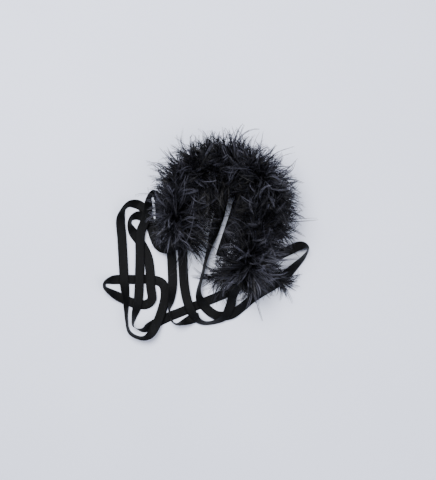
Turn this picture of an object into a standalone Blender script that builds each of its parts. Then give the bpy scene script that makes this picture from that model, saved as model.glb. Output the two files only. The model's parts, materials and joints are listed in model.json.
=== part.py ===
"""Feather boa: a short ostrich collarette laid down in a C, with its ribbon ties lying beside it.

A twisted cotton core carries seven ostrich plumes. Each plume is a split quill wound round the
core, bound on with thread, and its barbs stand out all round. Ribbon-wrapped ends hold four ties.
Units are metres. +Z is up, z = 0 is the surface the boa lies on, and the origin is the middle of
the plumes' footprint. The core bends at six hinges about +Z, one between each pair of sections.
"""

import math

import bpy
from mathutils import Vector

MM = 0.001
GAP = 0.3 * MM  # clearance between pieces that touch

# Core and plumes
SECTIONS = 7
CORE_R = 2.5 * MM
CORE_Z = 40 * MM
PLUME_R = 48 * MM  # half width of the barbs' mass
PLUME_RISE = 46 * MM  # its half height
BORE_R = 5.4 * MM  # hollow round core, quill and whipping
HINGE_WEDGE = math.radians(13)  # each end face leans back this much, for a bend of 25 degrees
HINGE_SETBACK = 0.6 * MM
TIE_ROOM = 9 * MM  # the end plumes lie on the ties, this far above the surface
QUILL_R = 0.8 * MM
QUILL_TURNS = 3
WHIP_R = 4.5 * MM
WHIP_LENGTH = 5 * MM
WHIP_START = 3 * MM  # from the hinge, and past the end wrap on the first section
WRAP_R = 4.6 * MM
WRAP_REACH = 8 * MM  # beyond the core's end
WRAP_OVER = 5 * MM  # back over the core

# Ties
TIE_WIDTH = 15 * MM
TIE_THICK = 0.5 * MM
TIE_STATIONS = 72

# Middle of the plumes' footprint, in the coordinates that the routes below use
ORIGIN_X = 8.8
ORIGIN_Y = 26.6

# Core route, in millimetres, from the left end round to the right end
CORE_ROUTE = [
    (-62, -8), (-66, 22), (-56, 57), (-29, 84), (8, 95), (46, 91),
    (75, 69), (84, 34), (75, -4), (59, -40), (46, -76),
]

# Each tie: x, y and height in millimetres, and lean in degrees (0 lies flat, 90 stands on edge)
TIE_ROUTES = {
    "tie_left_inner": [
        (-62, -17, 44, 0), (-63, -24, 41, 0), (-70, -27, 32, 15), (-82, -22, 19, 20), (-90, -8, 7, 10),
        (-89, 12, 3.6, 0), (-89, 30, 3.6, 0), (-92, 44, 5.5, 25), (-99, 52, 9, 55), (-106, 44, 9.4, 60),
        (-108, 28, 9.4, 25), (-111, 10, 8.6, 10), (-119, -9, 6.6, 0), (-121, -28, 4.8, 0), (-121, -50, 3.6, 0), (-122, -90, 3.6, 0),
        (-124, -122, 4.5, 10), (-130, -146, 8.5, 60), (-131, -161, 9.6, 85), (-118, -167, 8.6, 118),
        (-106, -162, 4.2, 158), (-92, -155, 1.3, 180), (-78, -148, 1.0, 180), (-58, -140, 0.9, 180),
        (-34, -130, 0.9, 180), (-10, -120, 0.9, 180), (12, -111, 0.9, 180), (32, -100, 0.9, 180),
    ],
    "tie_left_outer": [
        (-60, -17, 36, 0), (-60, -24, 34, 0), (-66, -34, 26, 0), (-80, -38, 16, 0), (-91, -33, 8, 0),
        (-98, -20, 2.0, 0),
        (-103, -4, 1.0, 0), (-108, 14, 0.9, 0), (-116, 27, 0.9, 0), (-125, 33, 1.8, 5), (-137, 34, 9, 52),
        (-147, 25, 10.4, 65),
        (-152, 8, 6.5, 25), (-150, -20, 4, 5), (-148, -55, 3.6, 0), (-146, -90, 4.5, 10),
        (-143, -120, 8.5, 50), (-142, -150, 10, 75), (-137, -171, 10, 75), (-120, -180, 10, 70),
        (-106, -176, 11.6, 38), (-97, -163, 11, 0), (-88, -142, 4.4, 0), (-81, -114, 1.3, 0),
        (-85, -94, 1.0, 0), (-104, -87, 0.9, 0), (-130, -87, 0.9, 0), (-158, -87, 2.2, 5),
        (-174, -90, 8, 62), (-177, -99, 9, 75), (-166, -108, 7.2, 45), (-150, -117, 2.4, 8),
        (-130, -125, 1.0, 0), (-112, -127, 1.6, 0), (-102, -118, 3.0, 5), (-104, -98, 3.6, 0),
        (-105, -72, 3.0, 0), (-109, -50, 2.0, 0), (-119, -30, 1.5, 0), (-130, -15, 1.8, -5),
        (-137, -1, 7.4, -60), (-135, 10, 7.8, -66), (-127, 15, 4.6, -34), (-118, 14, 2.0, 0),
        (-109, 9, 1.8, 0),
    ],
    "tie_right_long": [
        (44, -84, 44, 0), (41, -92, 41, 10), (33, -101, 28, 25), (27, -113, 12.5, 20), (23, -129, 7.5, 0),
        (14, -146, 9, 35), (-4, -155, 10.5, 60), (-22, -155, 10.5, 55), (-36, -143, 8.5, 25),
        (-45, -122, 5.5, 0), (-50, -98, 4.2, 0), (-52, -70, 4.0, 0), (-53, -40, 4.4, 10),
        (-54, -23, 9.2, 55), (-60, -13, 10.8, 85), (-68, -19, 9.8, 60), (-71, -34, 6.2, 20),
        (-70, -60, 4.4, 0), (-69, -92, 4.4, 0), (-71, -116, 8, 35), (-74, -136, 11, 80),
        (-71, -151, 11, 84), (-62, -158, 10.4, 80), (-50, -155, 6.4, 50), (-38, -150, 2.8, 10),
        (-26, -147, 2.2, 0),
    ],
    "tie_right_loop": [
        (44, -84, 36, 0), (44, -92, 32, -10), (53, -102, 20, -35), (68, -97, 8.5, -20), (74, -80, 5.6, 0),
        (82, -62, 5.4, 0), (98, -50, 4.4, 0), (118, -40, 4.2, 0), (136, -33, 6.0, 20),
        (147, -38, 9.7, 75), (140, -51, 9.0, 60), (127, -65, 6.4, 35), (113, -79, 4.2, 10),
        (98, -92, 3.2, 0), (80, -103, 3.4, 5), (60, -116, 5.2, 20), (42, -131, 5.0, 20),
        (24, -143, 3.4, 0), (4, -145, 3.2, 0), (-12, -136, 3.4, 0), (-24, -121, 6.2, 25),
        (-27, -104, 9.4, 60), (-22, -82, 10.2, 72), (-16, -56, 10.2, 72), (-9, -32, 9.0, 55),
        (-1, -6, 4.6, 15), (6, 16, 3.4, 0), (11, 36, 5.0, 12), (17, 51, 8.6, 55), (27, 56, 9.8, 80),
        (35, 45, 8.2, 50), (31, 22, 3.6, 0), (23, -2, 3.0, 0), (15, -26, 3.0, 0), (7, -50, 3.0, 0),
    ],
}


def placed(x, y, z):
    """Turn a route's millimetres into metres about the origin."""
    return Vector(((x - ORIGIN_X) * MM, (y - ORIGIN_Y) * MM, z * MM))


def smooth_path(points, count):
    """Read count evenly spaced points from a smooth curve through points of any dimension."""
    size = len(points[0])
    first = tuple(2 * points[0][k] - points[1][k] for k in range(size))
    last = tuple(2 * points[-1][k] - points[-2][k] for k in range(size))
    padded = [first] + list(points) + [last]
    fine = []
    steps = 24
    for i in range(1, len(padded) - 2):
        p0, p1, p2, p3 = padded[i - 1:i + 3]
        for step in range(steps):
            t = step / steps
            fine.append(tuple(
                0.5 * (2 * b + (c - a) * t + (2 * a - 5 * b + 4 * c - d) * t * t
                       + (3 * b - a - 3 * c + d) * t ** 3)
                for a, b, c, d in zip(p0, p1, p2, p3)))
    fine.append(tuple(points[-1]))
    reach = [0.0]
    for a, b in zip(fine, fine[1:]):
        reach.append(reach[-1] + math.dist(a[:3], b[:3]))
    even = []
    j = 0
    for i in range(count):
        goal = reach[-1] * i / (count - 1)
        while j < len(fine) - 2 and reach[j + 1] < goal:
            j += 1
        share = (goal - reach[j]) / max(reach[j + 1] - reach[j], 1e-9)
        even.append(tuple(a + (b - a) * share for a, b in zip(fine[j], fine[j + 1])))
    return even


class CoreLine:
    """The core's centre line, read by distance from its left end."""

    def __init__(self):
        samples = smooth_path([(x, y, CORE_Z / MM) for x, y in CORE_ROUTE], 401)
        self.points = [placed(*p) for p in samples]
        self.step = (self.points[1] - self.points[0]).length
        self.length = self.step * (len(self.points) - 1)

    def at(self, distance):
        """Give the point, the direction along the core and the direction to its right."""
        i = distance / self.step
        low = min(max(int(math.floor(i)), 0), len(self.points) - 2)
        along = (self.points[low + 1] - self.points[low]).normalized()
        point = self.points[low] + along * (i - low) * self.step
        return point, along, Vector((along.y, -along.x, 0))


def make_material(name, colour, roughness, metallic=0.0):
    """A plain Principled material."""
    material = bpy.data.materials.new(name)
    material.use_nodes = True
    shader = material.node_tree.nodes["Principled BSDF"]
    shader.inputs["Base Color"].default_value = (*colour, 1)
    shader.inputs["Roughness"].default_value = roughness
    shader.inputs["Metallic"].default_value = metallic
    return material


def make_object(name, verts, faces, material, holder=None, sharp_angle=40):
    """Make one named mesh object, shaded smooth, under the empty that holds its section."""
    mesh = bpy.data.meshes.new(name)
    start = holder.location if holder else Vector((0, 0, 0))
    mesh.from_pydata([Vector(v) - start for v in verts], [], faces)
    mesh.validate()
    mesh.shade_smooth()
    mesh.set_sharp_from_angle(angle=math.radians(sharp_angle))
    mesh.materials.append(material)
    thing = bpy.data.objects.new(name, mesh)
    bpy.context.scene.collection.objects.link(thing)
    thing.parent = holder
    return thing


def loft(rings, closed_ends=True, loop=False):
    """Join rings of equal size into a skin. Each ring runs counter-clockwise seen from the start."""
    size = len(rings[0])
    verts = [v for ring in rings for v in ring]
    faces = []
    spans = len(rings) if loop else len(rings) - 1
    for i in range(spans):
        a = i * size
        b = (i + 1) % len(rings) * size
        for k in range(size):
            n = (k + 1) % size
            faces.append((a + k, a + n, b + n, b + k))
    if closed_ends and not loop:
        faces.append(tuple(reversed(range(size))))
        faces.append(tuple(range(len(verts) - size, len(verts))))
    return verts, faces


def strip_skin(rings):
    """Join four-cornered rings into a thin strip. Both broad faces are split along the same
    diagonal, so the strip keeps its thickness where it twists."""
    verts = [v for ring in rings for v in ring]
    faces = [(3, 2, 1, 0), tuple(range(len(verts) - 4, len(verts)))]
    for a in range(0, len(verts) - 4, 4):
        b = a + 4
        faces += [(a, a + 1, b + 1, b), (a + 2, a + 3, b + 3, b + 2)]
        faces += [(a + 1, a + 2, b + 2), (a + 1, b + 2, b + 1), (a + 3, a, b + 3), (a, b, b + 3)]
    return verts, faces


def circle(point, along, right, radius, sides, turn=0.0):
    """A ring of points round the core line."""
    up = right.cross(along).normalized()
    return [
        point + right * (radius * math.cos(a)) + up * (radius * math.sin(a))
        for a in (turn - 2 * math.pi * k / sides for k in range(sides))
    ]


def section_span(index, core):
    """Where a section starts and ends along the core."""
    length = core.length / SECTIONS
    return index * length, (index + 1) * length


def whipping_start(index, core):
    """Where a section's whipping begins, clear of the left end's wrap."""
    start, _ = section_span(index, core)
    return start + WHIP_START + (WRAP_OVER if index == 0 else 0.0)


def make_core(index, core, holder, material):
    """One section of the twisted cotton core, with its ends eased off at the hinges."""
    start, end = section_span(index, core)
    sides = 12
    ease = 0.7 * MM
    stations = [(start + HINGE_SETBACK, CORE_R - ease), (start + HINGE_SETBACK + ease, CORE_R)]
    inner = 5
    for k in range(1, inner):
        stations.append((start + (end - start) * k / inner, CORE_R))
    stations += [(end - HINGE_SETBACK - ease, CORE_R), (end - HINGE_SETBACK, CORE_R - ease)]
    rings = [circle(*core.at(s), radius, sides) for s, radius in stations]
    make_object(f"core_cord_{index + 1}", *loft(rings), material, holder)


def plume_radius_point(angle, scale, floor):
    """Across and up from the core, for one direction round the plume, held above its floor."""
    across = PLUME_R * scale * math.cos(angle)
    up = PLUME_RISE * scale * math.sin(angle)
    return across, max(up, floor - CORE_Z)


def make_plume(index, core, holder, material):
    """The barbs of one plume as a plain bead round the core, leaning back at both hinges."""
    start, end = section_span(index, core)
    sides = 20
    floor = TIE_ROOM if index in (0, SECTIONS - 1) else 0.0
    lean = math.tan(HINGE_WEDGE)
    back = {scale: HINGE_SETBACK + PLUME_R * scale * lean for scale in (0.3, 0.8, 1.0)}
    body = 4 * MM
    near, far = start + back[1.0] + body, end - back[1.0] - body
    stations = [(start + back[0.3], 0.3), (start + back[0.8], 0.8), (near, 1.0),
                ((near + far) / 2, 1.0), (far, 1.0), (end - back[0.8], 0.8), (end - back[0.3], 0.3)]
    rings = []
    for s, scale in stations:
        point, _, right = core.at(s)
        ring = []
        for k in range(sides):
            across, up = plume_radius_point(-2 * math.pi * (k + 0.5) / sides, scale, floor)
            ring.append(point + right * across + Vector((0, 0, up)))
        rings.append(ring)
    bore_from, bore_to, bore_spans = start + back[0.3] + GAP, end - back[0.3] - GAP, 5
    bore_at = [bore_from + (bore_to - bore_from) * k / bore_spans for k in range(bore_spans + 1)]
    bore = [circle(*core.at(s), BORE_R, sides, -math.pi / sides) for s in bore_at]
    rings += list(reversed(bore))
    make_object(f"plume_{index + 1}", *loft(rings, loop=True), material, holder)


def make_quill(index, core, holder, material):
    """A split quill wound round the core between its whipping and the next hinge."""
    _, end = section_span(index, core)
    begin = whipping_start(index, core) + WHIP_LENGTH + 1.5 * MM
    finish = end - WHIP_START - (WRAP_OVER if index == SECTIONS - 1 else 0.0)
    helix_r = CORE_R + GAP + QUILL_R
    count = QUILL_TURNS * 10
    path = []
    for k in range(count + 1):
        share = k / count
        point, along, right = core.at(begin + (finish - begin) * share)
        angle = 2 * math.pi * QUILL_TURNS * share
        path.append(point + (right * math.cos(angle) + right.cross(along) * math.sin(angle)) * helix_r)
    rings = []
    for k, point in enumerate(path):
        along = (path[min(k + 1, count)] - path[max(k - 1, 0)]).normalized()
        right = along.cross(Vector((0, 0, 1)))
        if right.length < 1e-3:
            right = along.cross(Vector((1, 0, 0)))
        radius = QUILL_R * (1.0 - 0.45 * k / count)
        rings.append(circle(point, along, right.normalized(), radius, 5))
    make_object(f"quill_{index + 1}", *loft(rings), material, holder)


def make_whipping(index, core, holder, material):
    """The thread binding that holds a quill's butt on the core: a ring with four turns."""
    begin = whipping_start(index, core)
    inner = CORE_R + GAP
    turns = 4
    profile = []
    for k in range(2 * turns + 1):
        profile.append((WHIP_LENGTH * k / (2 * turns), WHIP_R if k % 2 else WHIP_R - 0.5 * MM))
    rings = [circle(*core.at(begin + s), radius, 14) for s, radius in profile]
    rings += [circle(*core.at(begin + s), inner, 14) for s in (WHIP_LENGTH, 0)]
    make_object(f"whipping_{index + 1}", *loft(rings, loop=True), material, holder, 60)


def make_end_wrap(name, core, distance, outward, holder, material):
    """A cup of wound ribbon over one end of the core, closed towards the ties."""
    wall = 1.6 * MM
    inner = WRAP_R - wall
    ease = 1.2 * MM
    profile = [(-WRAP_OVER, WRAP_R - ease / 4), (ease / 2 - WRAP_OVER, WRAP_R), (WRAP_REACH - ease, WRAP_R),
               (WRAP_REACH, WRAP_R - ease)]
    hollow = [(GAP, inner), (-WRAP_OVER, inner)]
    point, along, right = core.at(distance)
    along = along * outward
    right = right * outward
    rings = [circle(point + along * s, along, right, radius, 14) for s, radius in profile + hollow]
    size = len(rings[0])
    verts, faces = loft(rings, loop=True)
    kept = [f for f in faces if not (min(f) >= 3 * size and max(f) < 5 * size)]
    kept.append(tuple(range(3 * size, 4 * size)))
    kept.append(tuple(reversed(range(4 * size, 5 * size))))
    make_object(name, verts, kept, material, holder)


def make_tie(name, holder, material):
    """A ribbon tie: a flat strip along its smooth route, leaning as the route says."""
    samples = smooth_path(TIE_ROUTES[name], TIE_STATIONS)
    path = [placed(*s[:3]) for s in samples]
    rings = []
    for k, point in enumerate(path):
        along = (path[min(k + 1, len(path) - 1)] - path[max(k - 1, 0)]).normalized()
        side = along.cross(Vector((0, 0, 1))).normalized()
        normal = side.cross(along)
        lean = math.radians(samples[k][3])
        wide = (side * math.cos(lean) + normal * math.sin(lean)) * (TIE_WIDTH / 2)
        thick = wide.normalized().cross(along) * (TIE_THICK / 2)
        rings.append([point - wide - thick, point - wide + thick,
                      point + wide + thick, point + wide - thick])
    make_object(name, *strip_skin(rings), material, holder, 30)


def make_bar_tack(name, tie, holder, material):
    """A row of stitches across a tie's root, as one small bar lying on the ribbon."""
    samples = smooth_path(TIE_ROUTES[tie], TIE_STATIONS * 4)
    point = placed(*samples[1][:3])
    along = (placed(*samples[2][:3]) - placed(*samples[0][:3])).normalized()
    side = along.cross(Vector((0, 0, 1))).normalized()
    normal = side.cross(along)
    half_long, half_wide, height = 5 * MM, 0.8 * MM, 0.6 * MM
    foot = TIE_THICK / 2 + GAP
    ring = [(-half_wide, 0), (-half_wide, height * 0.6), (-half_wide * 0.5, height),
            (half_wide * 0.5, height), (half_wide, height * 0.6), (half_wide, 0)]
    rings = [[point + side * s + along * a + normal * (foot + h) for a, h in ring]
             for s in (half_long, -half_long)]
    make_object(name, *loft(rings), material, holder, 60)


def make_holder(index, core):
    """The empty at a section's hinge, nearer the middle of the boa."""
    middle = SECTIONS // 2
    start, end = section_span(index, core)
    distance = (start + end) / 2
    if index < middle:
        distance = end
    if index > middle:
        distance = start
    holder = bpy.data.objects.new(f"hinge_of_section_{index + 1}", None)
    holder.location = core.at(distance)[0]
    bpy.context.scene.collection.objects.link(holder)
    return holder


def main():
    """Clear the scene and build the boa, section by section."""
    for thing in list(bpy.data.objects):
        bpy.data.objects.remove(thing, do_unlink=True)
    cotton = make_material("core_cotton", (0.05, 0.05, 0.055), 0.9)
    barbs = make_material("ostrich_barbs", (0.02, 0.02, 0.024), 0.75)
    quills = make_material("quill_horn", (0.035, 0.03, 0.03), 0.5)
    thread = make_material("binding_thread", (0.015, 0.015, 0.017), 0.7)
    ribbon = make_material("tie_ribbon", (0.045, 0.047, 0.052), 0.65)
    core = CoreLine()
    holders = [make_holder(index, core) for index in range(SECTIONS)]
    for index, holder in enumerate(holders):
        make_core(index, core, holder, cotton)
        make_plume(index, core, holder, barbs)
        make_quill(index, core, holder, quills)
        make_whipping(index, core, holder, thread)
    make_end_wrap("end_wrap_left", core, 0.0, -1, holders[0], ribbon)
    make_end_wrap("end_wrap_right", core, core.length, 1, holders[-1], ribbon)
    for tie in TIE_ROUTES:
        holder = holders[0] if "left" in tie else holders[-1]
        make_tie(tie, holder, ribbon)
        make_bar_tack(tie.replace("tie", "bar_tack"), tie, holder, thread)


main()
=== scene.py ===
# %% [markdown]
# # A feather boa, laid down with its ribbon ties
#
# The boa is a twisted cotton core with seven ostrich plumes wound round it and two ribbon ties
# sewn to each end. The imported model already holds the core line, the six bends along it and the
# place of every tie. This script dresses that frame: woven ribbon for the ties, dyed fibre and horn
# for the core, quills and thread inside, and many thousand separate barbs for the plumes.

# %% Load the frame and keep its box
import json
import math

import bpy
import numpy as np
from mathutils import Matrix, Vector

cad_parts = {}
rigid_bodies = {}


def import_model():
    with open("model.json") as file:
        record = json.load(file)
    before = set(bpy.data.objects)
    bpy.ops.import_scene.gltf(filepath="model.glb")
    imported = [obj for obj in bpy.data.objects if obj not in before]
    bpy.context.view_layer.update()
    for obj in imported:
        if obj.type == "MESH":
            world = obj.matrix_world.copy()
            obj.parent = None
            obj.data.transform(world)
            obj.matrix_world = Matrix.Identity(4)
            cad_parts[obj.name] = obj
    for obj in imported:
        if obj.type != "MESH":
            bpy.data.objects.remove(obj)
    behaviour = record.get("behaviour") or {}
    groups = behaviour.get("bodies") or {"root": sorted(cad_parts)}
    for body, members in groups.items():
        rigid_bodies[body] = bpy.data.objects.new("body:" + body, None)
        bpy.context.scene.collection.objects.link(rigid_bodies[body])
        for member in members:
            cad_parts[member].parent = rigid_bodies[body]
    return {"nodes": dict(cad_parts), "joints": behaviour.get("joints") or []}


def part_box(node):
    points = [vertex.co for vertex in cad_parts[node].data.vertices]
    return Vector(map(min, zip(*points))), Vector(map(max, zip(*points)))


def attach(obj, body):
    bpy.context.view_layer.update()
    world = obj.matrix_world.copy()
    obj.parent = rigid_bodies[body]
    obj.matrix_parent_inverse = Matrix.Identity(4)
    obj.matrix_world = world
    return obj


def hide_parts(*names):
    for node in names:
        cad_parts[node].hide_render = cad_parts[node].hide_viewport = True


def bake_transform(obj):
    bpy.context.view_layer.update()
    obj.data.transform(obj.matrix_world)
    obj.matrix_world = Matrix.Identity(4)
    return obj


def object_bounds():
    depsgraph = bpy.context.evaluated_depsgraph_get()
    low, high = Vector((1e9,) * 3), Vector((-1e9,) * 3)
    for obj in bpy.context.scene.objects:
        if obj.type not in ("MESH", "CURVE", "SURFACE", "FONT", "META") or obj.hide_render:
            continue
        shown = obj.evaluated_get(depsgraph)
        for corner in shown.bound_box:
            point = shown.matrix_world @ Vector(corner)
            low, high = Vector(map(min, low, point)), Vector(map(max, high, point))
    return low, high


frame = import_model()
cad_low, cad_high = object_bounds()
MM = 0.001
print("box of the frame, mm:", [round(v / MM, 1) for v in (*cad_low, *cad_high)])

# %% [markdown]
# ## Camera
#
# The boa is looked at from straight above. A long lens far away keeps the upright barbs from
# leaning outwards across the picture, as a short lens would make them do.

# %% Camera above the boa
CAMERA_HEIGHT = 1.9
VIEW_LENGTH = 0.768
SENSOR = 36.0
AIM_SHIFT = (19 * MM, -3.5 * MM)
camera_data = bpy.data.cameras.new("camera_above")
camera_data.sensor_width = SENSOR
camera_data.lens = SENSOR * CAMERA_HEIGHT / VIEW_LENGTH
camera = bpy.data.objects.new("camera_above", camera_data)
middle = (cad_low + cad_high) / 2
camera.location = (middle.x + AIM_SHIFT[0], middle.y + AIM_SHIFT[1], CAMERA_HEIGHT)
bpy.context.scene.collection.objects.link(camera)
bpy.context.scene.camera = camera
print("camera at", [round(v, 3) for v in camera.location], "lens", round(camera_data.lens, 1))

# %% [markdown]
# ## The way each tie lies
#
# A ribbon is flat, so its route needs more than a line: every point also says how far the ribbon
# leans, from 0 where it lies flat to 90 where it stands on edge in a turn. The points are the
# ones the solid ties were made from, in millimetres about the same origin.

# %% Routes of the four ties
ROUTE_ORIGIN = (8.8, 26.6)
TIE_ROUTES = {
    "tie_left_inner": [
        (-62, -17, 44, 0), (-63, -24, 41, 0), (-70, -27, 32, 15), (-82, -22, 19, 20), (-90, -8, 7, 10),
        (-89, 12, 3.6, 0), (-89, 30, 3.6, 0), (-92, 44, 5.5, 25), (-99, 52, 9, 55), (-106, 44, 9.4, 60),
        (-108, 28, 9.4, 25), (-111, 10, 8.6, 10), (-119, -9, 6.6, 0), (-121, -28, 4.8, 0),
        (-121, -50, 3.6, 0), (-122, -90, 3.6, 0), (-124, -122, 4.5, 10),
        (-130, -146, 8.5, 60), (-131, -161, 9.6, 85), (-118, -167, 8.6, 118),
        (-106, -162, 4.2, 158), (-92, -155, 1.3, 180), (-78, -148, 1.0, 180), (-58, -140, 0.9, 180),
        (-34, -130, 0.9, 180), (-10, -120, 0.9, 180), (12, -111, 0.9, 180), (32, -100, 0.9, 180),
    ],
    "tie_left_outer": [
        (-60, -17, 36, 0), (-60, -24, 34, 0), (-66, -34, 26, 0), (-80, -38, 16, 0), (-91, -33, 8, 0),
        (-98, -20, 2.0, 0), (-103, -4, 1.0, 0), (-108, 14, 0.9, 0), (-116, 27, 0.9, 0),
        (-125, 33, 1.8, 5), (-137, 34, 9, 52), (-147, 25, 10.4, 65), (-152, 8, 6.5, 25),
        (-150, -20, 4, 5), (-148, -55, 3.6, 0), (-146, -90, 4.5, 10),
        (-143, -120, 8.5, 50), (-142, -150, 10, 75), (-137, -171, 10, 75), (-120, -180, 10, 70),
        (-106, -176, 11.6, 38), (-97, -163, 11, 0), (-88, -142, 4.4, 0), (-81, -114, 1.3, 0),
        (-85, -94, 1.0, 0), (-104, -87, 0.9, 0), (-130, -87, 0.9, 0), (-158, -87, 2.2, 5),
        (-174, -90, 8, 62), (-177, -99, 9, 75), (-166, -108, 7.2, 45), (-150, -117, 2.4, 8),
        (-130, -125, 1.0, 0), (-112, -127, 1.6, 0), (-102, -118, 3.0, 5), (-104, -98, 3.6, 0),
        (-105, -72, 3.0, 0), (-109, -50, 2.0, 0), (-119, -30, 1.5, 0), (-130, -15, 1.8, -5),
        (-137, -1, 7.4, -60), (-135, 10, 7.8, -66), (-127, 15, 4.6, -34), (-118, 14, 2.0, 0),
        (-109, 9, 1.8, 0),
    ],
    "tie_right_long": [
        (44, -84, 44, 0), (41, -92, 41, 10), (33, -101, 28, 25), (27, -113, 12.5, 20), (23, -129, 7.5, 0),
        (14, -146, 9, 35), (-4, -155, 10.5, 60), (-22, -155, 10.5, 55), (-36, -143, 8.5, 25),
        (-45, -122, 5.5, 0), (-50, -98, 4.2, 0), (-52, -70, 4.0, 0), (-53, -40, 4.4, 10),
        (-54, -23, 9.2, 55), (-60, -13, 10.8, 85), (-68, -19, 9.8, 60), (-71, -34, 6.2, 20),
        (-70, -60, 4.4, 0), (-69, -92, 4.4, 0), (-71, -116, 8, 35), (-74, -136, 11, 80),
        (-71, -151, 11, 84), (-62, -158, 10.4, 80), (-50, -155, 6.4, 50), (-38, -150, 2.8, 10),
        (-26, -147, 2.2, 0),
    ],
    "tie_right_loop": [
        (44, -84, 36, 0), (44, -92, 32, -10), (53, -102, 20, -35), (68, -97, 8.5, -20), (74, -80, 5.6, 0),
        (82, -62, 5.4, 0), (98, -50, 4.4, 0), (118, -40, 4.2, 0), (136, -33, 6.0, 20),
        (147, -38, 9.7, 75), (140, -51, 9.0, 60), (127, -65, 6.4, 35), (113, -79, 4.2, 10),
        (98, -92, 3.2, 0), (80, -103, 3.4, 5), (60, -116, 5.2, 20), (42, -131, 5.0, 20),
        (24, -143, 3.4, 0), (4, -145, 3.2, 0), (-12, -136, 3.4, 0), (-24, -121, 6.2, 25),
        (-27, -104, 9.4, 60), (-22, -82, 10.2, 72), (-16, -56, 10.2, 72), (-9, -32, 9.0, 55),
        (-1, -6, 4.6, 15), (6, 16, 3.4, 0), (11, 36, 5.0, 12), (17, 51, 8.6, 55), (27, 56, 9.8, 80),
        (35, 45, 8.2, 50), (31, 22, 3.6, 0), (23, -2, 3.0, 0), (15, -26, 3.0, 0), (7, -50, 3.0, 0),
    ],
}
print("ties:", {name: len(route) for name, route in TIE_ROUTES.items()})

# %% [markdown]
# ## From points to smooth lines
#
# A cord or a ribbon that lies loose has no corners. A Catmull-Rom curve goes through every given
# point and stays smooth between them, so a few points are enough to describe a long tie. The same
# curve later serves for the core.

# %% A smooth curve through any list of points
SPAN_STEPS = 24
TINY = 1e-12


def smooth_curve(points, spacing):
    """Points a set distance apart on a smooth curve through points of any dimension."""
    points = np.array(points, float)
    padded = np.vstack([2 * points[0] - points[1], points, 2 * points[-1] - points[-2]])
    share = np.linspace(0, 1, SPAN_STEPS, endpoint=False)[:, None]
    runs = []
    for a, b, c, d in zip(padded, padded[1:], padded[2:], padded[3:]):
        runs.append(0.5 * (2 * b + (c - a) * share + (2 * a - 5 * b + 4 * c - d) * share ** 2
                           + (3 * b - a - 3 * c + d) * share ** 3))
    fine = np.vstack(runs + [points[-1:]])
    reach = np.concatenate([[0], np.cumsum(np.linalg.norm(np.diff(fine[:, :3], axis=0), axis=1))])
    count = max(2, int(round(reach[-1] / spacing)) + 1)
    goal = np.linspace(0, reach[-1], count)
    return np.column_stack([np.interp(goal, reach, fine[:, k]) for k in range(fine.shape[1])])


def unit(vectors):
    """Rows scaled to length one."""
    return vectors / np.maximum(np.linalg.norm(vectors, axis=-1, keepdims=True), TINY)


longest_route = smooth_curve(TIE_ROUTES["tie_left_outer"], 1.0)
print("points a millimetre apart on the longest tie:", len(longest_route))

# %% [markdown]
# ## Woven black ribbon
#
# The ties are black woven ribbon with a faint cross rib and a firm edge. Two shader node groups
# make the cloth: one gives the rib as a height and as a mask for painted shade in the grooves, the
# other a slow mottling, as handling leaves it. Both are built once. The mottling also serves the
# thread, the horn and the floor.

# %% Shader group helpers
RIB_PITCH = 0.9 * MM
THREAD_SCALE = 900


def new_group(name, inputs, outputs):
    """An empty shader node group with named float inputs and typed outputs."""
    group = bpy.data.node_groups.new(name, "ShaderNodeTree")
    for label, value in inputs:
        socket = group.interface.new_socket(label, in_out="INPUT", socket_type="NodeSocketFloat")
        socket.default_value = value
    for label, kind in outputs:
        group.interface.new_socket(label, in_out="OUTPUT", socket_type=kind)
    entry = group.nodes.new("NodeGroupInput")
    leave = group.nodes.new("NodeGroupOutput")
    return group, entry, leave


def add_node(tree, kind, **settings):
    """One node of a kind, with its own settings such as an operation or a blend type."""
    node = tree.nodes.new(kind)
    for key, value in settings.items():
        setattr(node, key, value)
    return node


def math_node(tree, operation, first, second=None):
    """A Math node whose inputs are sockets or numbers."""
    node = add_node(tree, "ShaderNodeMath", operation=operation)
    for k, source in enumerate((first, second)):
        if source is None:
            continue
        if isinstance(source, (int, float)):
            node.inputs[k].default_value = source
        else:
            tree.links.new(source, node.inputs[k])
    return node.outputs[0]


# %% The cloth groups
def make_rib_group():
    """Cross ribs of a woven ribbon, from its own UV: u runs across, v along, both in metres."""
    group, entry, leave = new_group(
        "ribbon_rib", [("Pitch", RIB_PITCH), ("Unevenness", 0.35)], [("Rib", "NodeSocketFloat")])
    uv = add_node(group, "ShaderNodeUVMap")
    split = add_node(group, "ShaderNodeSeparateXYZ")
    group.links.new(uv.outputs["UV"], split.inputs[0])
    turns = math_node(group, "DIVIDE", split.outputs["Y"], entry.outputs["Pitch"])
    wave = math_node(group, "SINE", math_node(group, "MULTIPLY", turns, 2 * math.pi))
    noise = add_node(group, "ShaderNodeTexNoise")
    noise.inputs["Scale"].default_value = THREAD_SCALE
    group.links.new(uv.outputs["UV"], noise.inputs["Vector"])
    rough = math_node(group, "MULTIPLY", noise.outputs["Fac"], entry.outputs["Unevenness"])
    half = math_node(group, "MULTIPLY", math_node(group, "ADD", wave, 1.0), 0.5)
    group.links.new(math_node(group, "ADD", half, rough), leave.inputs["Rib"])
    return group


def make_mottle_group():
    """A slow, soft variation over a surface, between 0 and 1."""
    group, entry, leave = new_group(
        "soft_mottle", [("Scale", 20.0), ("Detail", 3.0)], [("Mottle", "NodeSocketFloat")])
    place = add_node(group, "ShaderNodeTexCoord")
    noise = add_node(group, "ShaderNodeTexNoise")
    group.links.new(place.outputs["Object"], noise.inputs["Vector"])
    group.links.new(entry.outputs["Scale"], noise.inputs["Scale"])
    group.links.new(entry.outputs["Detail"], noise.inputs["Detail"])
    group.links.new(noise.outputs["Fac"], leave.inputs["Mottle"])
    return group


RIB = make_rib_group()
MOTTLE = make_mottle_group()
print("groups:", RIB.name, MOTTLE.name)

# %% Material helpers


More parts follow.
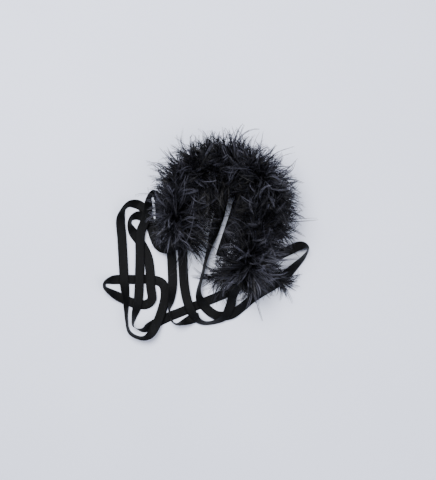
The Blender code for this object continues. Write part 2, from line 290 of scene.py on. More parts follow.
def new_material(name, roughness, **fixed):
    """A material with its Principled shader; fixed values sit on the shader's own sockets."""
    material = bpy.data.materials.new(name)
    material.use_nodes = True
    tree = material.node_tree
    shader = tree.nodes["Principled BSDF"]
    shader.inputs["Roughness"].default_value = roughness
    for label, value in fixed.items():
        shader.inputs[label.replace("_", " ")].default_value = value
    return material, tree, shader


def use_group(tree, group, **values):
    """Place a node group in a material with its own values."""
    node = add_node(tree, "ShaderNodeGroup", node_tree=group)
    for label, value in values.items():
        node.inputs[label].default_value = value
    return node


def ramp_colour(tree, source, low, high, start=0.3, stop=0.7):
    """Turn a value into a colour between two ends."""
    ramp = add_node(tree, "ShaderNodeValToRGB")
    ramp.color_ramp.elements[0].position = start
    ramp.color_ramp.elements[0].color = (*low, 1)
    ramp.color_ramp.elements[1].position = stop
    ramp.color_ramp.elements[1].color = (*high, 1)
    tree.links.new(source, ramp.inputs[0])
    return ramp.outputs[0]


def add_bump(tree, shader, height, strength, distance):
    """Bump from a height that varies over the surface."""
    bump = add_node(tree, "ShaderNodeBump")
    bump.inputs["Strength"].default_value = strength
    bump.inputs["Distance"].default_value = distance
    tree.links.new(height, bump.inputs["Height"])
    tree.links.new(bump.outputs["Normal"], shader.inputs["Normal"])


# %% Black ribbon material
RIBBON_DARK, RIBBON_LIGHT = (0.002, 0.0021, 0.0024), (0.005, 0.0052, 0.006)
# Painted shade: the grooves between the ribs are darkened to this share of the cloth colour.
GROOVE_PAINTED_SHADE, RIB_SHADE = (0.55, 0.55, 0.55), (1, 1, 1)
RIBBON_ROUGHNESS, RIBBON_ROUGHNESS_SPREAD = 0.45, 0.25


def make_ribbon_material():
    """Matt black ribbon: ribs in the bump, painted shade in the grooves, greyer where it was handled."""
    material, tree, shader = new_material(
        "tie_ribbon_cloth", 0.6, Sheen_Weight=0.02, Sheen_Roughness=0.4, Specular_IOR_Level=0.06)
    rib = use_group(tree, RIB, Pitch=RIB_PITCH, Unevenness=0.5)
    mottle = use_group(tree, MOTTLE, Scale=28.0, Detail=4.0)
    cloth = ramp_colour(tree, mottle.outputs["Mottle"], RIBBON_DARK, RIBBON_LIGHT)
    # The rib mask paints shade into the grooves between the ribs.
    groove_painted_shade = ramp_colour(tree, rib.outputs["Rib"], GROOVE_PAINTED_SHADE, RIB_SHADE, 0.1, 0.9)
    mix = add_node(tree, "ShaderNodeMix", data_type="RGBA", blend_type="MULTIPLY")
    mix.inputs["Factor"].default_value = 1
    tree.links.new(cloth, mix.inputs["A"])
    tree.links.new(groove_painted_shade, mix.inputs["B"])
    tree.links.new(mix.outputs["Result"], shader.inputs["Base Color"])
    rough = math_node(tree, "MULTIPLY_ADD", mottle.outputs["Mottle"], RIBBON_ROUGHNESS_SPREAD)
    rough.node.inputs[2].default_value = RIBBON_ROUGHNESS
    tree.links.new(rough, shader.inputs["Roughness"])
    add_bump(tree, shader, rib.outputs["Rib"], 0.5, 0.0002)
    return material


ribbon_cloth = make_ribbon_material()
print("material:", ribbon_cloth.name)

# %% [markdown]
# ## The ties as real ribbon
#
# Each tie is a thin closed strip swept along its smooth route. A ribbon that has been tied keeps
# a little memory of it, so the strip is cupped across its width and its lean wanders by a few
# degrees along its length. The weave follows a UV map that is laid out in true metres.

# %% Sizes of the ribbon
TIE_WIDTH = 15 * MM
TIE_THICK = 0.35 * MM
ACROSS = 8
ROUTE_SPACING = 2.0
CUP_DEPTH, CUP_PERIOD = 0.35 * MM, 23
WAVER_DEPTH, WAVER_PERIODS = 0.12 * MM, (5.0, 8.5, 17.0)
DEEPEST_DIP = -0.2 * MM
EDGE_THINNING = 0.3
FULL_TURN = 6.3  # radians, a little over a whole turn
print("ribbon, mm:", round(TIE_WIDTH / MM, 2), "wide,", round(TIE_THICK / MM, 2), "thick")

# %% Build a ribbon along a route


def add_object(name, mesh, material):
    """Link a mesh as a named object with one material."""
    mesh.materials.append(material)
    thing = bpy.data.objects.new(name, mesh)
    bpy.context.scene.collection.objects.link(thing)
    return thing


def route_frames(route, spacing):
    """Points, width directions and normals of a ribbon along a route."""
    samples = smooth_curve(route, spacing)
    points = (samples[:, :3] - np.array([*ROUTE_ORIGIN, 0])) * MM
    along = unit(np.gradient(points, axis=0))
    side = unit(np.cross(along, (0, 0, 1)))
    upright = np.cross(side, along)
    lean = np.radians(samples[:, 3])[:, None]
    wide = side * np.cos(lean) + upright * np.sin(lean)
    return points, wide, np.cross(wide, along)


def make_tie(name, route, seed):
    """A cupped, gently wavering ribbon, closed all round, with UVs in metres."""
    rng = np.random.default_rng(seed)
    points, wide, normal = route_frames(route, ROUTE_SPACING)
    count = len(points)
    place = np.linspace(0, 1, count) * count * ROUTE_SPACING
    waver = sum(rng.uniform(0.3, 1) * np.sin(place / period + rng.uniform(0, FULL_TURN))
                for period in WAVER_PERIODS)
    cup = CUP_DEPTH * np.sin(place / CUP_PERIOD + rng.uniform(0, FULL_TURN))
    across = np.linspace(-1, 1, ACROSS + 1)
    verts = []
    for face in (1, -1):
        shift = cup[:, None] * (1 - across ** 2) + WAVER_DEPTH * waver[:, None] * across
        shift = np.maximum(shift, DEEPEST_DIP) + face * TIE_THICK / 2 * (1 - EDGE_THINNING * across ** 8)
        sheet = (points[:, None] + wide[:, None] * (across[None, :, None] * TIE_WIDTH / 2)
                 + normal[:, None] * shift[..., None])
        verts.append(sheet if face == 1 else sheet[:, ::-1])
    rings = np.concatenate(verts, axis=1)
    size = rings.shape[1]
    faces = []
    for i in range(count - 1):
        a, b = i * size, (i + 1) * size
        faces += [(a + k, b + k, b + (k + 1) % size, a + (k + 1) % size) for k in range(size)]
    faces += [tuple(range(size)), tuple(reversed(range((count - 1) * size, count * size)))]
    mesh = bpy.data.meshes.new(name)
    mesh.from_pydata(rings.reshape(-1, 3).tolist(), [], faces)
    uv = mesh.uv_layers.new(name="UVMap")
    widths = np.tile(np.concatenate([across, across[::-1]]) * TIE_WIDTH / 2, count)
    lengths = np.repeat(place * MM, size)
    owners = np.empty(len(mesh.loops), int)
    mesh.loops.foreach_get("vertex_index", owners)
    uv.data.foreach_set("uv", np.column_stack([widths[owners], lengths[owners]]).ravel())
    mesh.shade_smooth()
    tie = add_object(name + "_ribbon", mesh, ribbon_cloth)
    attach(tie, "section_1" if "left" in name else "section_7")
    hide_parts(name)
    return tie


ties = [make_tie(name, route, seed) for seed, (name, route) in enumerate(TIE_ROUTES.items())]

# %% [markdown]
# ## The core line
#
# Everything in the plumes is placed by distance along the core. The frame gives that line: the
# six bends and the two end wraps lie on it, so a smooth curve through them is the core.

# %% Read the core line from the frame
CORE_SPACING = 1.0 * MM


def box_centre(node):
    """Middle of a CAD node's box."""
    low, high = (np.array(corner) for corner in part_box(node))
    return (low + high) / 2


hinges = {}
for joint in frame["joints"]:
    sections = sorted((joint["parent"], joint["child"]))
    hinges[int(sections[0].split("_")[1])] = np.array(joint["pos_m"], float)
SECTIONS = len(hinges) + 1
knots = [box_centre("end_wrap_left")] + [hinges[k] for k in sorted(hinges)] + [box_centre("end_wrap_right")]
core_line = smooth_curve(knots, CORE_SPACING)
core_reach = np.concatenate([[0], np.cumsum(np.linalg.norm(np.diff(core_line, axis=0), axis=1))])
core_along = unit(np.gradient(core_line, axis=0))
CORE_LENGTH = core_reach[-1]
hinge_at = [core_reach[np.argmin(np.linalg.norm(core_line - hinges[k], axis=1))] for k in sorted(hinges)]
print("core", round(CORE_LENGTH / MM), "mm, bends at", [round(s / MM) for s in hinge_at])


def core_frame(distance):
    """Points on the core, directions along it and to its right, for an array of distances."""
    inside = np.clip(distance, 0, CORE_LENGTH)
    point = np.column_stack([np.interp(inside, core_reach, core_line[:, k]) for k in range(3)])
    along = unit(np.column_stack([np.interp(inside, core_reach, core_along[:, k]) for k in range(3)]))
    point = point + along * (distance - inside)[:, None]
    right = unit(np.cross(along, (0, 0, 1)))
    return point, along, right


# %% [markdown]
# ## Ostrich barbs
#
# An ostrich plume is a quill with hundreds of long, limp barbs, and every barb is furred on both
# sides with short barbules. That fur is why a single barb looks as wide as a blade of grass and
# why its edge is soft. Barbs lie together in locks that share a direction and close up towards
# their tips. So a direction and a length are drawn for each lock, three barbs are grown from them,
# and each barb is a narrow blade with a row of hair-fine triangles along both edges. A hair system
# could grow them too, but plain meshes keep the shape that is drawn here.

# %% Barb settings
LOCKS_PER_MM = 19.0
UNDER_SHARE = 0.36
BARBS_PER_LOCK = 3
BARB_STEPS = 8
BLADE_WIDTH = 1.2 * MM
BARBULES = 12
BARBULE_LENGTH = 1.45 * MM
BARBULE_WIDTH = 0.6 * MM
FLOOR_CLEAR = 1.2 * MM
CORE_SURFACE = 3.5 * MM
LOCK_CLOSES = 0.9
print("about", round(LOCKS_PER_MM * BARBS_PER_LOCK), "barbs for each millimetre of core before thinning")

# %% [markdown]
# ## Where the plumes flare
#
# The tips of a plume stand out in all directions from one place, like a burst. Three bursts show
# on this boa: one near each end, and one at the outer corner of its right shoulder. Before a burst
# the barbs lean back along the core, and past it they lean forward.

# %% Bursts along the core
BURSTS = np.array([24 * MM, 0.56 * CORE_LENGTH, CORE_LENGTH - 20 * MM])
BURST_REACH = 30 * MM
BURST_FADE = 1.1
LEAN_FADE = 1.3
LEAN_MOST = 1.25
print("bursts at, mm:", [round(at / MM) for at in BURSTS])


def burst_lean(at):
    """How far barbs lean along the core, and how near they are to a burst, from 0 to 1."""
    offset = at[:, None] - BURSTS[None, :]
    nearest = np.argmin(np.abs(offset), axis=1)
    offset = offset[np.arange(len(at)), nearest] / BURST_REACH
    closeness = np.exp(-(offset / BURST_FADE) ** 2)
    return LEAN_MOST * offset * np.exp(-(offset / LEAN_FADE) ** 2), closeness


# %% [markdown]
# ## The parting between the two sides
#
# The boa lies folded, so the barbs of its two sides meet over the middle. They stop along one
# line, and a narrow parting stays open there with only a few barbs across it. Barbs that would
# pass over the parting are shortened towards their roots.

# %% Keep the parting open
PARTING_TOP = (np.array([26.5, 42.0]) - ROUTE_ORIGIN) * MM
PARTING_END = (np.array([-24.0, -98.0]) - ROUTE_ORIGIN) * MM
PARTING_HALF = 4.6 * MM
PARTING_RAGGED = 9 * MM
PARTING_LEAD = 4 * MM
CROSSING_SHARE = 0.05
NEAR_ZERO = 1e-9
print("parting", round(float(np.linalg.norm(PARTING_END - PARTING_TOP)) / MM), "mm long")


def keep_parting(rng, lines):
    """Scale barbs down where they would cross the parting; a few are left to cross it."""
    run = PARTING_END - PARTING_TOP
    length = np.linalg.norm(run)
    run = run / length
    across = np.array([-run[1], run[0]])
    flat = lines[:, :, :2] - PARTING_TOP
    distance = flat @ across
    beside = (flat @ run > -PARTING_LEAD) & (flat @ run < length)
    side = np.sign(distance[:, :1])
    distance = distance * side
    least = np.where(beside, distance, np.inf).min(axis=1)
    edge = PARTING_HALF + rng.uniform(0, PARTING_RAGGED, len(lines)) * rng.uniform(0, 1, len(lines))
    root = distance[:, 0]
    crosses = (least < edge) & (root > edge) & (rng.uniform(0, 1, len(lines)) > CROSSING_SHARE)
    share = np.where(crosses, (root - edge) / np.maximum(root - least, NEAR_ZERO), 1.0)
    return lines[:, :1] + (lines - lines[:, :1]) * share[:, None, None]


# %% [markdown]
# ## How far a barb may reach
#
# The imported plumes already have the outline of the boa. Real barbs stray past it by a little, and
# a few lie far out. Anything that would reach much further is pressed back smoothly, as a hand
# smooths a boa when it lays it down, and nothing may sink into the surface below.

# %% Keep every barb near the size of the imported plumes
SIZE_SHARE = 0.03
SIZE_MARGIN = 9 * MM
LOWEST_HAIR = 0.3 * MM
SQUEEZE = 20 * MM
side_lengths = cad_high - cad_low
HIGHEST = np.array(cad_high + side_lengths * SIZE_SHARE) + SIZE_MARGIN
LOWEST = np.array(cad_low - side_lengths * SIZE_SHARE) - SIZE_MARGIN
print("barbs stay below, mm:", [round(v / MM, 1) for v in HIGHEST])
print("and on the floor plan above, mm:", [round(v / MM, 1) for v in LOWEST[:2]])


def squeeze_inside(lines):
    """Flatten whatever reaches past the size limits, smoothly, over the last stretch."""
    for axis in range(3):
        top = HIGHEST[axis] - SQUEEZE
        over = np.maximum(lines[..., axis] - top, 0)
        lines[..., axis] -= over - SQUEEZE * np.tanh(over / SQUEEZE)
    for axis in range(2):
        base = LOWEST[axis] + SQUEEZE
        under = np.maximum(base - lines[..., axis], 0)
        lines[..., axis] += under - SQUEEZE * np.tanh(under / SQUEEZE)
    lines[..., 2] = np.maximum(lines[..., 2], FLOOR_CLEAR)
    return lines


# %% [markdown]
# ## How a lock of barbs grows
#
# A barb leaves the quill nearly straight, then droops under its own weight and curls a little to
# one side, and where it meets the surface it lies down along it. One line is stepped forward for
# every barb by that rule. The barbs of a lock start from one place with nearly one direction, and
# are then drawn towards their common middle, more and more towards the tip, because their
# barbules cling together.

# %% Step barbs forward as they droop, curl and land
DROOP_RATE = 0.5
CURL_RATE = 0.2
CURL_AT_ROOT = 0.3
FLOOR_RAGGED = 4 * MM
FLOOR_RISE = 0.05


def bend_down_and_round(rng, point, direction, length, droop, curl):
    """Step lines forward while they droop, curl and settle on the floor."""
    up = np.array((0.0, 0.0, 1.0))
    step = (length / BARB_STEPS)[:, None]
    lines = [point]
    for k in range(BARB_STEPS):
        far = (k + 1) / BARB_STEPS
        direction = unit(direction - up * (droop * far * DROOP_RATE)[:, None])
        swing = unit(np.cross(up, direction))
        direction = unit(direction + swing * (curl * (CURL_AT_ROOT + far) * CURL_RATE)[:, None])
        point = point + direction * step
        low = point[:, 2] < FLOOR_CLEAR
        point[low, 2] = FLOOR_CLEAR + rng.uniform(0, FLOOR_RAGGED, low.sum())
        direction[low] = unit(direction[low] * (1, 1, 0.0) + (0, 0, FLOOR_RISE))
        lines.append(point)
    return np.stack(lines, axis=1)


# %% Give the barbs of a lock nearly the same start, and draw them together
ROOT_SPREAD = 1.0 * MM
HEADING_SPREAD = 0.08
SHORTEST, LONGEST = 0.66, 1.04
DROOP_RANGE = (0.85, 1.15)
OWN_CURL = 0.2
CLOSING_POWER = 0.7
LOCK_SWAY = 1.8 * MM
BARB_SWAY = 0.5 * MM
SWAY_TURNS = (3, 7)
TONE_SPREAD = 0.06


def share_lock(rng, guides, size):
    """Give every barb its lock's facts with a small spread of its own, and grow its line."""
    locks = len(guides["length"])
    lock = np.repeat(np.arange(locks), size)
    barbs = len(lock)
    point = guides["point"][lock] + rng.normal(0, ROOT_SPREAD, (barbs, 3))
    direction = unit(guides["direction"][lock] + rng.normal(0, HEADING_SPREAD, (barbs, 3)))
    length = guides["length"][lock] * rng.uniform(SHORTEST, LONGEST, barbs)
    droop = guides["droop"][lock] * rng.uniform(*DROOP_RANGE, barbs)
    curl = guides["curl"][lock] + rng.normal(0, OWN_CURL, barbs)
    lines = bend_down_and_round(rng, point, direction, length, droop, curl)
    share = np.linspace(0, 1, BARB_STEPS + 1)[None, :, None]
    centre = np.zeros((locks, BARB_STEPS + 1, 3))
    np.add.at(centre, lock, lines)
    lines = lines + (centre[lock] / size - lines) * (LOCK_CLOSES * share ** CLOSING_POWER)
    for members, sway in ((locks, LOCK_SWAY), (barbs, BARB_SWAY)):
        turns = share * rng.uniform(*SWAY_TURNS, (members, 1, 1)) + rng.uniform(0, FULL_TURN, (members, 1, 1))
        wave = np.sin(turns) * rng.normal(0, 1, (members, 1, 3)) * share * sway
        lines = lines + (wave[lock] if members == locks else wave)
    tone_and_painted_light = np.clip(guides["tone_and_painted_light"][lock] + rng.normal(0, TONE_SPREAD, barbs), 0, 1)
    return lines, tone_and_painted_light


# %% Choose where the locks root, thinner underneath and between the bursts
DOWNWARD, DOWNWARD_SHARE = -0.2, 0.5
THINNEST, FILL_GAIN = 0.66, 0.34
INNER_FILL = 1.3


def choose_roots(rng, start, stop):
    """Distances on the core, angles round it, leans and nearness to a burst of the kept locks."""
    locks = int((stop - start) / MM * LOCKS_PER_MM)
    at = rng.uniform(start, stop, locks)
    azimuth = rng.uniform(-0.5 * np.pi, 1.5 * np.pi, locks)
    lean, closeness = burst_lean(at)
    fill = np.maximum(closeness, np.clip(INNER_FILL * np.cos(azimuth), 0, 1))
    wanted = np.where(np.sin(azimuth) < DOWNWARD, DOWNWARD_SHARE, 1.0) * (THINNEST + FILL_GAIN * fill)
    keep = rng.uniform(0, 1, locks) < wanted
    return at[keep], azimuth[keep], lean[keep], closeness[keep]


# %% Choose how long the locks are
BARB_LENGTH, BARB_LENGTH_SPREAD = 58, 6
LONG_LOCK_SHARE, LONG_LOCK_GAIN = 0.2, 1.26
LEFT_PART, INNER_GAIN_LEFT, INNER_GAIN_RIGHT = 0.42, 0.62, 0.34
UNDER_LENGTH = 0.7
TRIMMED_PART, OUTER_TRIM = 0.16, 0.2


def lock_lengths(rng, at, azimuth, under):
    """Lengths in metres: longest on the inner side, shorter underneath and outside the left end."""
    inner, outer = np.clip(np.cos(azimuth), 0, 1), np.clip(-np.cos(azimuth), 0, 1)
    length = rng.normal(BARB_LENGTH, BARB_LENGTH_SPREAD, len(at)) * MM
    length = length * np.where(rng.uniform(0, 1, len(at)) < LONG_LOCK_SHARE, LONG_LOCK_GAIN, 1.0)
    gain = np.where(at < LEFT_PART * CORE_LENGTH, INNER_GAIN_LEFT, INNER_GAIN_RIGHT)
    length = length * (1 + inner * gain) * np.where(under, UNDER_LENGTH, 1.0)
    return length * (1 - outer * np.where(at < TRIMMED_PART * CORE_LENGTH, OUTER_TRIM, 0.0))


# %% Choose how light the locks are, with painted highlights and painted shade
# The burst term lightens locks near a burst as painted light; the inner and under terms darken the inner side
# and the locks underneath as painted shade.
PLAIN_TONE, BURST_PAINTED_LIGHT, INNER_SHADE, UNDER_SHADE = 0.09, 0.12, 0.08, 0.1
# A share of the locks gets a painted highlight, more near a burst and fewer on the inner side.
PAINTED_HIGHLIGHT_SHARE, PAINTED_HIGHLIGHT_AT_BURST, DULL_INSIDE = 0.12, 0.16, 0.7
PAINTED_HIGHLIGHT_LEAST, PAINTED_HIGHLIGHT_MOST = 0.3, 0.8
LOCK_TONE_SPREAD = 0.05


def lock_tones_and_painted_light(rng, closeness, azimuth, under):
    """Tones from 0 to 1 with painted light: most locks are dark, a few get painted highlights, mainly at the
    bursts, and the inner side and the locks underneath get painted shade.
    """
    locks, inner = len(closeness), np.clip(np.cos(azimuth), 0, 1)
    chance = (PAINTED_HIGHLIGHT_SHARE + PAINTED_HIGHLIGHT_AT_BURST * closeness) * (1 - DULL_INSIDE * inner)
    painted_highlight = (rng.uniform(0, 1, locks) < chance) & ~under
    # Painted light near the bursts, painted shade on the inner side and underneath.
    tone_and_painted_light = PLAIN_TONE + BURST_PAINTED_LIGHT * closeness - INNER_SHADE * inner - UNDER_SHADE * under
    # Painted highlights on a few locks.
    tone_and_painted_light = tone_and_painted_light + np.where(painted_highlight, rng.uniform(PAINTED_HIGHLIGHT_LEAST, PAINTED_HIGHLIGHT_MOST, locks), 0.0)
    return tone_and_painted_light + rng.normal(0, LOCK_TONE_SPREAD, locks)


# %% The locks of one stretch of the core
SWEEP_SPREAD = 0.42
LEAST_DROOP, MOST_DROOP, UNDER_DROOP = 0.12, 0.6, 0.5
CURL_SPREAD = 0.6


def guides_round_core(rng, start, stop):
    """Guides of the locks rooted between two distances on the core."""
    at, azimuth, lean, closeness = choose_roots(rng, start, stop)
    locks = len(at)
    under = rng.uniform(0, 1, locks) < UNDER_SHARE
    length = lock_lengths(rng, at, azimuth, under)
    tone_and_painted_light = lock_tones_and_painted_light(rng, closeness, azimuth, under)
    point, along, right = core_frame(at)
    up = np.array((0.0, 0.0, 1.0))
    radial = right * np.cos(azimuth)[:, None] + up * np.sin(azimuth)[:, None]
    sweep = lean + rng.normal(0, SWEEP_SPREAD, locks)
    return {"point": point + radial * CORE_SURFACE, "direction": unit(radial + along * sweep[:, None]),
            "length": length, "droop": rng.uniform(LEAST_DROOP, MOST_DROOP, locks) + UNDER_DROOP * under,
            "curl": rng.normal(0, CURL_SPREAD, locks), "tone_and_painted_light": tone_and_painted_light}


def grow_barbs(rng, start, stop):
    """Lines and tones of every barb rooted between two distances on the core, with painted light and shade in
    the tones.
    """
    lines, tone_and_painted_light = share_lock(rng, guides_round_core(rng, start, stop), BARBS_PER_LOCK)
    return squeeze_inside(keep_parting(rng, lines)), tone_and_painted_light


# %% The locks of a loose tip
TIP_HEIGHTS = (26, 13)
TIP_LENGTH_SPREAD = 5
TIP_LEAST_DROOP, TIP_MOST_DROOP = 0.05, 0.3
TIP_CURL_SPREAD = 0.5
TIP_BRIGHTEST = 0.35


def guides_of_tip(rng, start, end, locks, spread, length):
    """Guides along a plume's own tip, where it hangs out of the roll from start to end."""
    start, end = (np.append(np.array(place) - ROUTE_ORIGIN, height) * MM
                  for place, height in zip((start, end), TIP_HEIGHTS))
    share = rng.uniform(0, 1, locks)[:, None]
    heading = unit((end - start)[None, :])
    direction = unit(heading + rng.normal(0, spread, (locks, 3)) * (1, 1, 0.5))
    return {"point": start + (end - start) * share, "direction": direction,
            "length": rng.normal(length, TIP_LENGTH_SPREAD, locks) * MM,
            "droop": rng.uniform(TIP_LEAST_DROOP, TIP_MOST_DROOP, locks),
            "curl": rng.normal(0, TIP_CURL_SPREAD, locks), "tone_and_painted_light": rng.uniform(0.0, TIP_BRIGHTEST, locks)}


# %% [markdown]
# ## The body of a barb
#
# Under a lens a barb is a flat, tapering strip with a row of soft hairs on both edges, and the
# hairs lean towards its tip. Each barb here is such a strip, eight steps long, with a thin
# triangle for each tuft of hairs. The hairs are longest past the middle and vanish at the tip.

# %% The blade of each barb
FACING_TILT = 0.7
THINNEST_BARB, THICKEST_BARB = 0.75, 1.25
TAPER = 0.8


def blade_edges(rng, lines, along):
    """The two edges of every blade, the way it is wide, and how stout its barb is."""
    barbs, rings = lines.shape[:2]
    facing = unit(rng.normal(0, 1, (barbs, 1, 3)) * FACING_TILT + (0, 0, FACING_TILT))
    side = unit(np.cross(along, facing))
    stout = rng.uniform(THINNEST_BARB, THICKEST_BARB, (barbs, 1, 1))
    share = np.linspace(0, 1, rings)
    width = BLADE_WIDTH / 2 * (1 - TAPER * share ** 2)[None, :, None] * stout
    return np.stack([lines - side * width, lines + side * width], axis=2), side, stout


# %% The fringe of each barb
FRINGE_START, FRINGE_END = 0.1, 0.98
FRINGE_AT_ROOT, FRINGE_GROWTH, FRINGE_LEAST = 0.45, 0.9, 0.12
FORWARD, OUTWARD, LIFT_SPREAD = 0.85, 0.55, 0.45
LENGTH_RANGE = (0.75, 1.15)
barbule_place = np.linspace(FRINGE_START, FRINGE_END, BARBULES)


def along_lines(lines, share):
    """Points at a share of the way along each line."""
    place = share * (lines.shape[1] - 1)
    cell = np.minimum(place.astype(int), lines.shape[1] - 2)
    part = (place - cell)[None, :, None]
    return lines[:, cell] * (1 - part) + lines[:, cell + 1] * part


def barbule_triangles(rng, lines, along, side, stout):
    """Corners of the thin triangles on both edges of every barb, which lean towards its tip."""
    root, lie, out = (along_lines(v, barbule_place)[:, :, None] for v in (lines, along, side))
    hand = np.array([-1.0, 1.0])[None, None, :, None]
    fringe = (FRINGE_AT_ROOT + FRINGE_GROWTH * barbule_place) * (1 - barbule_place ** 4) + FRINGE_LEAST
    reach = BARBULE_LENGTH * fringe[None, :, None, None] * stout[:, None]
    spread = rng.uniform(*LENGTH_RANGE, (len(lines), BARBULES, 2, 1))
    lift = np.cross(out, lie) * rng.normal(0, LIFT_SPREAD, (len(lines), BARBULES, 2, 1))
    tip = root + (lie * FORWARD + out * hand * OUTWARD + lift) * reach * spread
    foot = lie * BARBULE_WIDTH / 2
    near, far = (np.broadcast_to(edge, tip.shape) for edge in (root - foot, root + foot))
    return np.stack([near, tip, far], axis=3).reshape(-1, 3)


print("barbules sit at", [round(float(v), 2) for v in barbule_place], "of a barb's length")

# %% One mesh from blades and fringes
# Barbules take this share of their barb's tone, so each blade shows a painted highlight line between darker
# barbules.
HAIR_SHADE = 0.6


def fill_mesh(name, verts, quads, triangles):
    """A mesh straight from arrays, which is much quicker than from lists."""
    mesh = bpy.data.meshes.new(name)
    mesh.vertices.add(len(verts))
    mesh.vertices.foreach_set("co", verts.astype(np.float32).ravel())
    corners = np.concatenate([quads.ravel(), triangles.ravel()]).astype(np.int32)
    mesh.loops.add(len(corners))
    mesh.loops.foreach_set("vertex_index", corners)
    starts = np.concatenate([np.arange(0, quads.size, 4), quads.size + np.arange(0, triangles.size, 3)])
    mesh.polygons.add(len(starts))
    mesh.polygons.foreach_set("loop_start", starts.astype(np.int32))
    mesh.update(calc_edges=True)
    return mesh


def store_values(mesh, name, *parts):
    """One number for every vertex, which the shader can read by its name."""
    layer = mesh.attributes.new(name, "FLOAT", "POINT")
    layer.data.foreach_set("value", np.concatenate(parts).astype(np.float32))


def furred_mesh(name, rng, lines, tone_and_painted_light):
    """One mesh of tapering blades, each with a fringe of barbules on both sides."""
    barbs, rings = lines.shape[:2]
    along = unit(np.gradient(lines, axis=1))
    blades, side, stout = blade_edges(rng, lines, along)
    hairs = barbule_triangles(rng, lines, along, side, stout)
    verts = np.concatenate([blades.reshape(-1, 3), hairs])
    verts[:, 2] = np.maximum(verts[:, 2], LOWEST_HAIR)
    ring = (np.arange(barbs * rings).reshape(barbs, rings)[:, :-1].ravel()) * 2
    quads = np.column_stack([ring, ring + 2, ring + 3, ring + 1])
    triangles = barbs * rings * 2 + np.arange(len(hairs)).reshape(-1, 3)
    mesh = fill_mesh(name, verts, quads, triangles)
    # The darker barbules paint a highlight line along each blade.
    store_values(mesh, "tone_and_painted_light", np.repeat(tone_and_painted_light, rings * 2), np.repeat(tone_and_painted_light * HAIR_SHADE, BARBULES * 6))
    store_values(mesh, "reach", np.tile(np.repeat(np.linspace(0, 1, rings), 2), barbs),
                 np.tile(np.repeat(barbule_place, 6), barbs))
    mesh.shade_smooth()
    return mesh, len(quads) * 2 + len(triangles)


# %% [markdown]
# ## Dyed black, with painted light and shade
#
# The barbs are painted blackest near the quill, as painted shade deep in the fluff, and a cool dark
# grey further out. Some locks carry painted highlights and some painted shade. Every vertex carries
# its barb's tone with that painted light and its place between root and tip, and the shader turns
# the two into a colour.

# %% Barb material
BARB_DARKEST, BARB_LIGHTEST = (0.0002, 0.0002, 0.0003), (0.085, 0.086, 0.112)
SHEEN_COLOUR = (0.8, 0.84, 1.0, 1)
# Painted shade at the roots: the lightness at the root and its rise towards the tip.
ROOT_LIGHTNESS_IN_PAINTED_SHADE, PAINTED_SHADE_FADE_OUTWARDS = 0.35, 0.9


def make_barb_material():
    """Black barbs: each has its own tone with painted light, painted shade darkest at the root, and a soft
    cool sheen.
    """
    material, tree, shader = new_material(
        "ostrich_barbs_dyed_painted_light", 0.4, Sheen_Weight=0.01, Sheen_Roughness=0.35, Specular_IOR_Level=0.12)
    shader.inputs["Sheen Tint"].default_value = SHEEN_COLOUR
    # The stored tone carries painted light and shade as well as each lock's own tone.
    tone_and_painted_light = add_node(tree, "ShaderNodeAttribute", attribute_name="tone_and_painted_light")
    reach = add_node(tree, "ShaderNodeAttribute", attribute_name="reach")
    # Painted shade: each barb is darkened towards its root, deep in the fluff, fading outwards.
    outwards = math_node(tree, "MULTIPLY", reach.outputs["Fac"], PAINTED_SHADE_FADE_OUTWARDS)
    lightness = math_node(tree, "ADD", outwards, ROOT_LIGHTNESS_IN_PAINTED_SHADE)
    value = math_node(tree, "MULTIPLY", tone_and_painted_light.outputs["Fac"], lightness)
    colour = ramp_colour(tree, value, BARB_DARKEST, BARB_LIGHTEST, 0.05, 1.0)
    tree.links.new(colour, shader.inputs["Base Color"])
    return material


barb_black = make_barb_material()
print("material:", barb_black.name)

# %% [markdown]
# ## Seven plumes, eight pieces
#
# The core bends between its sections. Barbs that root near a bend belong to both sides of it, so
# the plumes are grown as one piece across each of the six bends, which stays where it is grown,
# and one piece at each end that rides on its end section. Two loose tips hang out of the roll at
# the right end.

# %% Grow one piece of the plumes
TIP_BARBS_PER_LOCK = 3


def add_plume_piece(name, seed, start, stop, replaced, tips=()):
    """Grow the barbs of one stretch of the core, and of any tip that hangs out of it, as one object."""
    rng = np.random.default_rng(seed)
    lines, tone_and_painted_light = grow_barbs(rng, start, stop)
    for tip in tips:
        more_lines, more_tone = share_lock(rng, guides_of_tip(rng, *tip), TIP_BARBS_PER_LOCK)
        lines = np.concatenate([lines, squeeze_inside(more_lines)])
        tone_and_painted_light = np.concatenate([tone_and_painted_light, more_tone])
    mesh, triangles = furred_mesh(name, rng, lines, tone_and_painted_light)
    piece = add_object(name, mesh, barb_black)
    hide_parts(*replaced)
    print(name, len(tone_and_painted_light), "barbs,", triangles, "triangles")
    return piece


# %% The two end pieces, which ride on the end sections
END_OVERHANG = 4 * MM
# Each tip: where it starts and ends on the floor plan, locks, spread of direction, barb length.
RIGHT_TIPS = [((54, -60), (101, -88), 120, 0.44, 45), ((46, -68), (8, -78), 22, 0.09, 62)]
edges = [0.0] + hinge_at + [CORE_LENGTH]
mids = [(a + b) / 2 for a, b in zip(edges, edges[1:])]
first = add_plume_piece("barbs_left_end", 100, -END_OVERHANG, mids[0], ["plume_1"])
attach(first, "section_1")
last = add_plume_piece("barbs_right_end", 107, mids[-1], CORE_LENGTH + END_OVERHANG,
                       [f"plume_{SECTIONS}"], RIGHT_TIPS)
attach(last, f"section_{SECTIONS}")

# %% The six pieces that cross the bends of the core
for k, at in enumerate(hinge_at):
    piece = add_plume_piece(f"barbs_across_bend_{k + 1}", 101 + k, mids[k], mids[k + 1],
                            [f"plume_{k + 1}", f"plume_{k + 2}"])
    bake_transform(piece)

